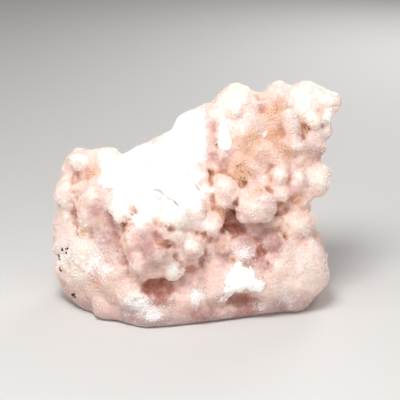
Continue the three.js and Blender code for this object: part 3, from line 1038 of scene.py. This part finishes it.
    grooves: tuple[Groove, ...] = (
        # between the cluster and the body to its right, then on under the cluster
        Groove(((2.4, -16, 26.5), (1.4, -17, 22), (-3, -19.5, 18.6), (-8, -20, 16.5)), 2.6, 0.6),
        # under the lip, round each of its lobes
        Groove(((-28.5, -15, 40), (-27.5, -17.5, 37), (-24, -18.5, 36.6), (-21, -18.5, 38.6)), 2.2, 1.6),
        Groove(((-19, -19.5, 40.2), (-15, -20, 38.6), (-12.8, -21.5, 36.2), (-8.2, -22.3, 35)), 2, 1.4),
        Groove(((-8.2, -22.3, 35), (-3.6, -20.5, 34.4), (0, -18, 32.8), (2.6, -15.5, 30)), 2.4, 1.2),
        # between the cluster's lumps
        Groove(((-22.6, -22, 28.4), (-18.5, -24, 28.6), (-14.5, -25.5, 29.6)), 2.8, 0.5),
        Groove(((-23.5, -19.5, 38), (-24.3, -19.5, 33.5), (-24, -20.5, 29.5)), 2.2, 1.2),
        Groove(((-13.4, -23.5, 33.4), (-11.5, -25, 31.4), (-8.2, -24, 30)), 2.4, 1.5),
        Groove(((-7.8, -24.5, 29.4), (-6.4, -25, 26), (-4.8, -23.5, 22.4)), 2.4, 1.7),
        # between the left edge of the body and the slit in the left shoulder
        Groove(((-41.3, -0.5, 46), (-42.3, -3.5, 38), (-42.4, -4.5, 31.5), (-41.4, -8, 28)), 2.8, 1.1),
        Groove(((-29.5, -16.5, 37), (-27, -18, 30), (-24.5, -20.5, 22)), 3, 1.2),
        # down the peak's valley
        Groove(((24.8, 9.5, 69.5), (27, 5, 64), (28, 0.5, 57.5)), 5, 0.3),
        # left of the tall knob
        Groove(((24.6, -5, 51), (24.4, -6.6, 47.4), (25.2, -8.2, 44)), 2.4, 1.5),
        # round the five-sided knob, and between it and the ball
        Groove(((5, -4.7, 48.4), (5.2, -8.4, 45.7), (5.4, -10.5, 42.9), (6.2, -12, 39)), 1.5, 1),
        Groove(((5.4, -3.9, 48.8), (9.9, -3.4, 48.8), (13, -5.4, 47)), 1.6, 0.9),
        Groove(((15, -6.4, 44.2), (14.4, -10, 42.4), (13.6, -11.4, 39.4)), 2.2, 1.1),
        # between the knobs right of the ball
        Groove(((31.8, -2.8, 51), (32, -5, 46.9), (32, -5.9, 42.9), (32.4, -5.5, 39.8)), 2.2, 0.4),
        # under the recess's lumps
        Groove(((11, -15, 20.4), (16, -16.6, 19.2), (21.5, -15, 18)), 2, 1),
        # the steps of the broken back
        Groove(((40, 24, 44), (26, 25, 38), (12, 25, 35), (2, 25, 24)), 3, 1.6),
        Groove(((-12, 22, 50), (-14, 24, 38), (-8, 25, 28), (-12, 27, 12)), 2.8, 1.5),
        Groove(((26, 25, 38), (27, 25, 24), (22, 26, 10)), 2.4, 1.3),
        # where the broken face has split
        Groove(((-15.3, -13, 46.6), (-12.6, -14, 45.6), (-8.6, -16.6, 43.7), (-5, -19, 41)), 2, 0.7),
    )
    calm_spots: tuple[Spot, ...] = spots(
        (22, 3, 62, 22, 0.7), (42, 6, 60, 12, 0.7), (38, -8, 16, 18, 0.7), (3, -18, 16, 14, 0.6),
        (-6, -16, 40, 14, 0.7), (-24, -14, 41, 9, 0.6), (20, -9, 38, 10, 0.5), (-12, -24, 29, 15, 0.75),
        (18, -12, 24, 10, 0.4),
    )
    rubbed: tuple[Spot, ...] = spots(
        (10, 2, 59.5, 7, 1), (16.5, -19, 15.5, 9, 0.8), (-4, -18.5, 38, 9, 0.6),
    )
    sugar_spots: tuple[Spot, ...] = spots(
        (27, 3, 61, 16, 0.8), (17, -3, 51, 9, 0.9), (21, -12, 45, 6, 0.9), (16.5, -13.5, 24, 7),
        (22, -9, 28, 7, 0.8), (42, 3, 53, 9, 0.6), (-33, -16, 19, 14, 0.9), (-15, -25, 6, 12),
        (12, -18, 5, 12, 0.8), (-40, -8, 22, 12, 0.7), (-24, -20, 12, 10, 0.8),
    )

    def build(self) -> Piece:
        """Builds and dresses the stone.

        Returns:
            The finished object.
        """
        rock = self._copied()
        self._melted(rock, self.melt)
        self._knobbed(rock)
        self._melted(rock, self.blend)
        self._roughened(rock)
        self._refined(rock)
        skin = Skin(rock.data)
        self._sculpted(skin)
        self._veined(skin)
        skin.move(kept_inside(skin.points, self.margin))
        self._tinted(skin)
        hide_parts(NODE)
        finish_piece(rock, MilkyQuartz().make())
        return rock

    def _copied(self) -> Piece:
        """Copies the stone's solid and joins its loose triangles.

        Returns:
            The copy.
        """
        rock = new_object(self.name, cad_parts[NODE].data.copy())
        with editing(rock, Part.POINTS):
            bpy.ops.mesh.remove_doubles(threshold=self.weld * MM)
        return rock

    def _melted(self, rock: Piece, rounds: int) -> None:
        """Turns the stone into one even, closed skin, and softens its edges.

        Args:
            rock: The stone.
            rounds: How many rounds of smoothing.
        """
        apply_modifier(rock, "REMESH", mode="VOXEL", voxel_size=self.voxel * MM, use_smooth_shade=True)
        apply_modifier(rock, "SMOOTH", factor=SMOOTHING, iterations=rounds)

    def _knobbed(self, rock: Piece) -> None:
        """Adds the round knobs that stand out most, and joins them to the stone.

        Args:
            rock: The stone.
        """
        balls = []
        for knob in self.knobs:
            ball = add_ball(knob.at, knob.radius, self.knob_splits)
            ball.scale = knob.stretch
            ball.rotation_euler.y = math.radians(knob.lean)
            balls.append(ball)
        join(rock, balls)

    def _bareness(self, skin: Skin) -> np.ndarray:
        """Finds the broken face.

        Args:
            skin: The stone's surface.

        Returns:
            One for each point on the broken face, falling to nothing outside it.
        """
        near = skin.gathered(self.bare_spots, skin.waves(self.bare_edges))
        turned = skin.eased(skin.normals, self.slope_easing) @ np.array(self.slope_facing)
        heights, sides = zip(*self.cliff_edge)
        edge = np.interp(skin.points[:, 2], heights, sides) + skin.waves(self.cliff_wander)
        spread = np.clip(near * self.bare_strength + skin.waves(self.bare_crumbs), 0, 1)
        facing = ramp(turned, self.slope_start, self.slope_span)
        return spread * facing * ramp(edge - skin.points[:, 0], 0, self.cliff_span)

    def _roughened(self, rock: Piece) -> None:
        """Swells the surface into bubbles and grains, little of it on the broken face and the foot.

        Args:
            rock: The stone.
        """
        skin = Skin(rock.data)
        bare = self._bareness(skin)
        under = np.clip((self.foot * 2 - skin.points[:, 2]) / self.foot, 0, 1)
        weights = (1 - self.bare_calm * bare) * (1 - under) * (1 - skin.gathered(self.calm_spots))
        group = rock.vertex_groups.new(name=ROUGH)
        for step in range(1, self.rough_steps + 1):
            chosen = np.flatnonzero(np.round(weights * self.rough_steps) == step)
            group.add(chosen.tolist(), step / self.rough_steps, "REPLACE")
        for relief in self.reliefs:
            texture = bpy.data.textures.new(relief.name, relief.growth.value)
            texture.noise_scale = relief.size * MM
            if relief.growth is Growth.CLOUDY:
                texture.noise_depth = 2
            else:
                texture.distance_metric = "DISTANCE_SQUARED"
            apply_modifier(
                rock,
                "DISPLACE",
                texture=texture,
                strength=relief.height * MM,
                mid_level=relief.level,
                texture_coords="LOCAL",
                vertex_group=ROUGH,
            )
            if relief.soften:
                apply_modifier(rock, "SMOOTH", factor=SMOOTHING, iterations=relief.soften)
        rock.vertex_groups.clear()

    def _refined(self, rock: Piece) -> None:
        """Divides the faces along the veins, so that each vein is sharp.

        Args:
            rock: The stone.
        """
        skin = Skin(rock.data)
        near = np.zeros(len(skin.points), dtype=bool)
        for vein in self.veins:
            near |= skin.away_from(skin.laid(vein.path)) < self.fine_reach
        with editing(rock, Part.POINTS, near):
            bpy.ops.mesh.subdivide(number_cuts=self.fine_cuts)

    def _veined(self, skin: Skin) -> None:
        """Cuts the veins into the broken face and marks them, darker the deeper they are, as painted shade.

        Args:
            skin: The stone's surface.
        """
        shaky = skin.waves(self.vein_edges)
        points = skin.points.copy()
        marked = np.zeros(len(points))
        for vein in self.veins:
            share = soft(skin.away_from(skin.laid(vein.path)) / vein.width + shaky)
            points -= (vein.depth * share)[:, None] * skin.normals
            marked = np.maximum(marked, share * (self.vein_mark + self.deep_mark * vein.depth))
        store(skin.mesh, Tint.VEIN_AND_SHADE, marked)
        skin.move(points)

    def _sculpted(self, skin: Skin) -> None:
        """Presses the dents and grooves in along the eased surface, and rubs some places smooth.

        Args:
            skin: The stone's surface.
        """
        inward = -skin.eased(skin.normals, self.dent_easing)
        inward /= np.linalg.norm(inward, axis=1, keepdims=True)
        points = skin.points.copy()
        uneven = skin.waves(*self.dent_edges)
        for dent in self.dents:
            ragged = uneven * min(1.0, self.ragged_under / dent.radius) ** 2
            away = skin.shares_from(dent) + ragged
            points += (dent.strength * soft(away))[:, None] * inward
        for groove in self.grooves:
            away = skin.away_from(groove.path) / groove.width + uneven
            points += (groove.depth * soft(away))[:, None] * inward
        skin.move(points)
        smooth = skin.eased(skin.points, self.rub_easing)
        for rub in self.rubbed:
            firm = np.clip(soft(skin.shares_from(rub)) * self.rub_firmness, 0, 1)
            share = (rub.strength * firm)[:, None]
            points = points * (1 - share) + smooth * share
        skin.move(points)

    def _tinted(self, skin: Skin) -> None:
        """Works out where each colour gathers and keeps it with the mesh.

        Args:
            skin: The stone's surface.
        """
        wander = skin.waves(*self.tint_edges)
        bare = self._bareness(skin)
        # how hollow each point is, for the painted shade in hollows and the painted light on crests
        store(skin.mesh, Tint.HOLLOW_SHADE, sum(skin.hollowness(hollows) for hollows in self.hollows))
        store(skin.mesh, Tint.BARE, bare)
        for tint, spots in (
            (Tint.IRON, self.iron_spots),
            (Tint.UMBER, self.umber_spots),
            (Tint.MAUVE_AND_SHADE, self.mauve_and_shade_spots),
            (Tint.RUST_AND_SHADE, self.rust_and_shade_spots),
            (Tint.PALE_AND_HIGHLIGHT, self.cream_and_highlight_spots),
            (Tint.BLOOM, self.white_and_glint_spots),
        ):
            store(skin.mesh, tint, skin.gathered(spots, wander) * (1 - self.bare_clean * bare))
        # painted shade low down: darker towards the bottom and on faces that look down, most on those
        # facing the front, least on those facing the back
        _, ahead, up = skin.normals.T
        reach = self.low_shade_height + skin.waves(self.low_shade_edge)
        low_down = np.clip(1 - skin.points[:, 2] / reach, 0, 1) * np.clip(1 - up, 0, self.low_shade_steep)
        turned = np.clip(self.low_shade_beside - self.low_shade_turned * ahead, self.low_shade_least, 1)
        store(skin.mesh, Tint.LOW_SHADE, low_down * turned)
        frosted = self.sugar_share + skin.gathered(self.sugar_spots, wander) + skin.waves(self.sugar_waves)
        store(skin.mesh, Tint.SUGAR, (1 - bare) * np.clip(frosted, self.sugar_least, 1.0))


@dataclass
class SugarCoat:
    """Thousands of quartz points, each the size of a sugar grain, grown over a part of the stone.

    Sizes and places are in millimetres; what shapes a point is for one that is a millimetre wide.
    """

    name: str
    seed: int
    low: Point
    high: Point
    count: int = 6500
    width: tuple[float, float] = (0.4, 0.8)
    shrunk: tuple[float, float] = (0.7, 1.0)  # what a width is multiplied by
    lowest: float = 1.0
    lean: float = 0.22
    shank: float = 0.1
    tip: float = 0.38
    sunk: float = 0.4
    facing_up: float = 0.9  # what tells the top of a shank from its sides
    # some points are drawn white all over: frosted quartz, and painted glints on their tips
    frosted: float = 0.5
    frosted_least: float = 0.02
    frost: float = 0.5

    def build(self, rock: Piece, finish: Material) -> None:
        """Grows the points on the stone.

        Args:
            rock: The stone that carries them.
            finish: Their material.
        """
        template, faces = self._point()
        skin = Skin(rock.data)
        rng = np.random.default_rng(self.seed)
        corners, places, facing, shares = self._sites(rock.data, skin, rng)
        sizes = rng.uniform(*self.width, self.count) * rng.uniform(*self.shrunk, self.count)
        axes = self._frames(facing, rng)
        shape = template[None] * sizes[:, None, None]
        grown = np.einsum("nij,nkj->nik", shape, axes.transpose(0, 2, 1)) + places[:, None]
        grown = kept_inside(grown, COAT_MARGIN)
        mesh = bpy.data.meshes.new(self.name)
        each = len(template)
        rows = [tuple(i + n * each for i in face) for n in range(self.count) for face in faces]
        mesh.from_pydata((grown.reshape(-1, 3) * MM).tolist(), [], rows)
        mesh.update()
        coat = new_object(self.name, mesh)
        luck = rng.random(self.count)
        # each point takes the tints of the stone under it, the painted shade and highlights among them
        for tint in Tint:
            values = (skin.read(tint)[corners] * shares).sum(1)
            # some points whitened at random, more where the stone is white: frost and painted glints
            if tint is Tint.BLOOM:
                values += self.frost * (luck < self.frosted_least + self.frosted * values)
            store(mesh, tint, np.repeat(values, each))
        finish_piece(coat, finish)

    def _point(self) -> tuple[np.ndarray, list[tuple[int, ...]]]:
        """Models one quartz point: a six-sided shank with a six-sided tip.

        Returns:
            Its corners, for a point one millimetre wide, and its faces.
        """
        bpy.ops.object.select_all(action="DESELECT")
        middle = (0, 0, (self.shank - self.sunk) / 2)
        bpy.ops.mesh.primitive_cylinder_add(
            vertices=6, radius=0.5, depth=self.shank + self.sunk, location=middle
        )
        bpy.ops.object.transform_apply(location=True)
        point = bpy.context.object
        top = np.array([face.normal.z > self.facing_up for face in point.data.polygons])
        with editing(point, Part.FACES, top):
            bpy.ops.mesh.extrude_region_move(TRANSFORM_OT_translate={"value": (0, 0, self.tip)})
            bpy.ops.mesh.merge(type="CENTER")
        corners = np.array([tuple(v.co) for v in point.data.vertices])
        faces = []
        for face in point.data.polygons:
            around = list(face.vertices)
            first = around.index(min(around))
            faces.append(tuple(around[first:] + around[:first]))
        bpy.data.objects.remove(point)
        return corners, sorted(faces)

    def _sites(
        self, mesh: bpy.types.Mesh, skin: Skin, rng: np.random.Generator
    ) -> tuple[np.ndarray, np.ndarray, np.ndarray, np.ndarray]:
        """Picks the places that the points grow from.

        Args:
            mesh: The stone's mesh.
            skin: Its surface.
            rng: The random numbers.

        Returns:
            The triangle under each point, its place, its direction, and the triangle's shares in it.
        """
        mesh.calc_loop_triangles()
        flat = np.empty(len(mesh.loop_triangles) * 3, dtype=np.int64)
        mesh.loop_triangles.foreach_get("vertices", flat)
        triangles = flat.reshape(-1, 3)
        a, b, c = (skin.points[triangles[:, k]] for k in range(3))
        areas = np.linalg.norm(np.cross(b - a, c - a), axis=1)
        sugar = skin.read(Tint.SUGAR)[triangles].mean(1)
        middle = (a + b + c) / 3
        inside = np.all((middle >= np.array(self.low)) & (middle < np.array(self.high)), axis=1)
        weights = areas * np.clip(sugar, 0, 1) * inside * (middle[:, 2] > self.lowest)
        picked = rng.choice(len(triangles), self.count, p=weights / weights.sum())
        first = np.sqrt(rng.random(self.count))
        second = rng.random(self.count)
        shares = np.stack([1 - first, first * (1 - second), first * second], axis=1)
        corners = triangles[picked]
        places, facing = (
            (values[corners] * shares[..., None]).sum(1) for values in (skin.points, skin.normals)
        )
        return corners, places, facing, shares

    def _frames(self, facing: np.ndarray, rng: np.random.Generator) -> np.ndarray:
        """Turns each point its own way about the direction it grows in.

        Args:
            facing: The direction of the stone's surface under each point.
            rng: The random numbers.

        Returns:
            A turned frame for each point, as rows of three axes.
        """
        up = facing + rng.normal(0, self.lean, facing.shape)
        up /= np.linalg.norm(up, axis=1, keepdims=True)
        side = np.cross(up, rng.normal(0, 1, facing.shape))
        side /= np.linalg.norm(side, axis=1, keepdims=True)
        return np.stack([side, np.cross(up, side), up], axis=2)


@dataclass
class Flake:
    """A thin white flake that lies on the stone, follows its surface and faces the front.

    Its places and lengths are in millimetres.
    """

    name: str
    at: Point
    outline: tuple[tuple[float, float], ...]
    reach: float
    ragged: float
    proud: float
    thickness: float = 0.9
    cuts: int = 3
    uneven: Waves = Waves(0.9, 0.12, 5)
    bite: float = 1.1
    shifts: tuple[Vector, Vector] = (Vector((3.7, 1.9, 8.1)), Vector((41.3, 27.7, 12.9)))

    def build(self, rock: Piece, finish: Material) -> None:
        """Lifts the flake off the stone's own surface and gives it its thickness.

        Args:
            rock: The stone that carries it.
            finish: Its material.
        """
        flake = new_object(self.name, rock.data.copy())
        self._keep(flake, np.linalg.norm(self._middles(flake) - np.array(self.at), axis=1) < self.reach)
        with editing(flake):
            bpy.ops.mesh.subdivide(number_cuts=self.cuts)
        middles = self._middles(flake)
        flat = (middles - np.array(self.at))[:, [0, 2]]
        drift = np.stack([wavy(middles, self.bite, shift) for shift in self.shifts], axis=1)
        self._keep(flake, self._inside(flat + self.ragged * drift))
        skin = Skin(flake.data)
        skin.move(skin.points + (self.proud + skin.waves(self.uneven))[:, None] * skin.normals)
        apply_modifier(flake, "SOLIDIFY", thickness=self.thickness * MM, offset=-1.0)
        finish_piece(flake, finish)

    @staticmethod
    def _middles(obj: Piece) -> np.ndarray:
        """Reads the middle of each face.

        Args:
            obj: The object.

        Returns:
            The middles, in millimetres.
        """
        flat = np.empty(len(obj.data.polygons) * 3)
        obj.data.polygons.foreach_get("center", flat)
        return flat.reshape(-1, 3) / MM

    @staticmethod
    def _keep(obj: Piece, kept: np.ndarray) -> None:
        """Deletes all the faces of a mesh but some.

        Args:
            obj: The object.
            kept: For each face, whether it stays.
        """
        with editing(obj, Part.FACES, ~kept):
            bpy.ops.mesh.delete(type="FACE")

    def _inside(self, places: np.ndarray) -> np.ndarray:
        """Tells which places lie inside the outline.

        Args:
            places: Places beside and above the flake's middle, in millimetres.

        Returns:
            For each place, whether it is inside.
        """
        inside = np.zeros(len(places), dtype=bool)
        across, above = places.T
        for (x0, z0), (x1, z1) in zip(self.outline, self.outline[1:] + self.outline[:1]):
            if z0 == z1:
                continue
            spans = (above < z0) != (above < z1)
            inside ^= spans & (across < x0 + (above - z0) * (x1 - x0) / (z1 - z0))
        return inside


@dataclass(frozen=True)
class BruisedQuartz:
    """Quartz crushed white where it was struck: a matt bloom of tiny cracks that lets no light in."""

    name: str = "bruised_quartz"
    colour: str = "#FFFEFD"
    shade: str = "#F3EBE6"
    roughness: float = 0.55
    grain: float = 0.7
    relief: float = 0.25
    relief_height: float = 0.3

    def make(self) -> Material:
        """Builds the material, whose real grain of 0.1 mm is drawn at 0.7 mm to show.

        Returns:
            The finished material.
        """
        material, tree, place = clean_material(self.name)
        pattern = {"Vector": place, "Scale": per_metre(self.grain), "Detail": 3.0}
        grain = add_node(tree, "TexNoise", None, pattern).outputs["Fac"]
        colours = {0: grain, 6: linear(self.colour), 7: linear(self.shade)}
        colour = add_node(tree, "Mix", {"data_type": "RGBA"}, colours).outputs[2]
        raised = {"Height": grain, "Strength": self.relief, "Distance": self.relief_height * MM}
        normal = add_node(tree, "Bump", None, raised).outputs["Normal"]
        looks = {"Base Color": colour, "Roughness": self.roughness, "IOR": QUARTZ_IOR, "Normal": normal}
        cover(tree, looks)
        return material


@dataclass(frozen=True)
class ManganeseGrain:
    """Manganese oxide: dull black grains, rough as soot, dusted on the quartz."""

    name: str = "manganese_grains"
    colour: str = "#2A2422"
    light: str = "#5A4A44"
    grain: float = 0.4
    roughness: float = 0.7

    def make(self) -> Material:
        """Builds the material.

        Returns:
            The finished material.
        """
        material, tree, place = clean_material(self.name)
        grain = add_node(tree, "TexNoise", None, {"Vector": place, "Scale": per_metre(self.grain)})
        colours = {0: grain.outputs["Fac"], 6: linear(self.colour), 7: linear(self.light)}
        colour = add_node(tree, "Mix", {"data_type": "RGBA"}, colours).outputs[2]
        cover(tree, {"Base Color": colour, "Roughness": self.roughness})
        return material


@dataclass
class Specks:
    """Small dark grains that lie in clusters on the stone, with sizes in millimetres."""

    name: str
    clusters: tuple[Spot, ...]
    each: int
    size: tuple[float, float]
    seed: int
    splits: int = 2
    stretch: tuple[float, float] = (0.6, 1.3)
    turn: float = 3.0  # how far each is turned at most, in radians
    uneven: Waves = Waves(0.35, 0.12, 6)

    def build(self, rock: Piece, finish: Material) -> None:
        """Scatters the grains on the surface.

        Args:
            rock: The stone that carries them.
            finish: Their material.
        """
        skin = Skin(rock.data)
        rng = np.random.default_rng(self.seed)
        balls = []
        for cluster in self.clusters:
            for _ in range(max(1, round(self.each * cluster.strength))):
                wished = np.array(cluster.at) + rng.normal(0, cluster.radius / 2, 3)
                nearest = int(np.argmin(np.linalg.norm(skin.points - wished, axis=1)))
                ball = add_ball(skin.points[nearest], rng.uniform(*self.size) / 2, self.splits)
                ball.scale = tuple(rng.uniform(*self.stretch, 3))
                ball.rotation_euler = tuple(rng.uniform(0, self.turn, 3))
                balls.append(ball)
        specks = balls[0]
        join(specks, balls[1:])
        bpy.ops.object.transform_apply(location=True, rotation=True, scale=True)
        specks.name = self.name
        grains = Skin(specks.data)
        rough = grains.points + grains.waves(self.uneven)[:, None] * grains.normals
        grains.move(kept_inside(rough, COAT_MARGIN))
        finish_piece(specks, finish)


@dataclass(frozen=True)
class Softbox:
    """One soft square light.

    Args:
        name: Its name.
        at: Where it hangs, in millimetres.
        size: Its edge, in millimetres.
        power: Its power, in watts.
    """

    name: str
    at: Point
    size: float
    power: float


@dataclass
class Studio:
    """A pale floor, four soft lights, an even sky and the camera; lengths are in millimetres."""

    target: Point = (1.35, -0.1, 37.3)
    distance: float = 461.0
    elevation: float = 20.0
    lens: float = 120.0
    sensor: float = 36.0
    nearest: float = 10.0
    floor_edge: float = 3000.0
    floor_gap: float = 0.05
    sky: str = "#F2F0EE"
    sky_strength: float = 0.27
    softboxes: tuple[Softbox, ...] = (
        Softbox("key_softbox", (-80, -190, 410), size=170, power=1.65),
        Softbox("fill_softbox", (260, -360, 170), size=240, power=0.62),
        Softbox("side_softbox", (-330, -220, 190), size=200, power=0.4),
        Softbox("back_softbox", (200, 420, 260), size=240, power=0.9),
    )

    def build(self) -> None:
        """Sets the studio up."""
        self._floor()
        for softbox in self.softboxes:
            self._light(softbox)
        self._sky()
        self._camera()

    def _floor(self) -> None:
        """Lays the floor just under the stone."""
        bpy.ops.object.select_all(action="DESELECT")
        bpy.ops.mesh.primitive_plane_add(size=self.floor_edge * MM, location=(0, 0, -self.floor_gap * MM))
        floor = bpy.context.object
        floor.name = "studio_floor"
        bpy.ops.object.transform_apply(location=True, scale=True)
        floor.data.materials.append(StudioFloor().make())

    def _light(self, softbox: Softbox) -> None:
        """Hangs one light that faces the stone.

        Args:
            softbox: The light.
        """
        lamp = bpy.data.lights.new(softbox.name, "AREA")
        lamp.size = softbox.size * MM
        lamp.energy = softbox.power
        light = new_object(softbox.name, lamp)
        light.location = Vector(softbox.at) * MM
        away = Vector(softbox.at) - Vector(self.target)
        light.rotation_euler = away.to_track_quat("Z", "Y").to_euler()

    def _sky(self) -> None:
        """Gives the studio its even, pale light from all round."""
        world = bpy.data.worlds.new("studio")
        world.use_nodes = True
        back = world.node_tree.nodes["Background"]
        back.inputs["Color"].default_value = linear(self.sky)
        back.inputs["Strength"].default_value = self.sky_strength
        bpy.context.scene.world = world
        bpy.context.scene.view_settings.view_transform = "Standard"

    def _camera(self) -> None:
        """Sets the camera up in front of the stone, looking a little down."""
        lens = bpy.data.cameras.new("camera")
        lens.lens = self.lens
        lens.sensor_width = self.sensor
        lens.clip_start = self.nearest * MM
        camera = new_object("camera", lens)
        angle = math.radians(self.elevation)
        back = Vector((0, -math.cos(angle), math.sin(angle)))
        camera.location = (Vector(self.target) + back * self.distance) * MM
        camera.rotation_euler = back.to_track_quat("Z", "Y").to_euler()
        bpy.context.scene.camera = camera


def main() -> None:
    """Builds the stone, its coat and the studio."""
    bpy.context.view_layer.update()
    rock = Rock().build()
    finish = MilkyQuartz(name="quartz_points_as_grown", roughness=0.25, glow=0.0, relief=0.0).make()
    for coat in (
        SugarCoat("sugar_left", 11, low=(-99, -99, 0), high=(-18, 99, 99)),
        SugarCoat("sugar_middle", 12, low=(-18, -99, 0), high=(14, 99, 99)),
        SugarCoat("sugar_right", 13, low=(14, -99, 0), high=(99, 99, 40)),
        SugarCoat("sugar_peak", 14, low=(14, -99, 40), high=(99, 99, 99)),
    ):
        coat.build(rock, finish)
    bruised = BruisedQuartz().make()
    bruise = (
        (-7.1, -0.7), (-5.8, 1.4), (-3.1, 4.3), (-1.7, 6.1), (-0.3, 3.6), (2.4, 2.9), (4.4, 0.2),
        (7.5, -1.4), (5.8, -3.6), (2.4, -4.0), (0.3, -2.5), (-1.7, -4.3), (-4.0, -4.2), (-4.2, -6.2),
        (-6.2, -7.8), (-8.9, -8.0), (-8.4, -6.2), (-6.8, -4.6), (-6.5, -1.8),
    )
    scar = (
        (-1.0, 4.2), (0.7, 3.6), (1.4, 2.1), (1.7, -0.3), (2.4, -1.5), (2.0, -3.6),
        (0.3, -4.5), (-1.4, -4.2), (-2.7, -2.7), (-2.0, -1.5), (-2.0, 0.9), (-2.0, 2.7),
    )
    for flake in (
        Flake("white_bruise", (16.5, -20.5, 15.5), bruise, reach=13.0, ragged=0.9, proud=0.25),
        Flake("white_scar", (9.9, 2.2, 59.4), scar, reach=8.0, ragged=0.15, proud=0.35),
    ):
        flake.build(rock, bruised)
    clusters = spots(
        (-47.3, -4, 17.7, 1.4), (-45.5, -8, 21.9, 1.6),
        (-46.8, -7.4, 14.1, 1.4, 0.7), (-42.6, -10.4, 5.3, 1.2, 0.8),
    )
    Specks("black_grains", clusters, each=7, size=(0.5, 1.0), seed=21).build(rock, ManganeseGrain().make())
    Studio().build()


if __name__ == "__main__":
    main()
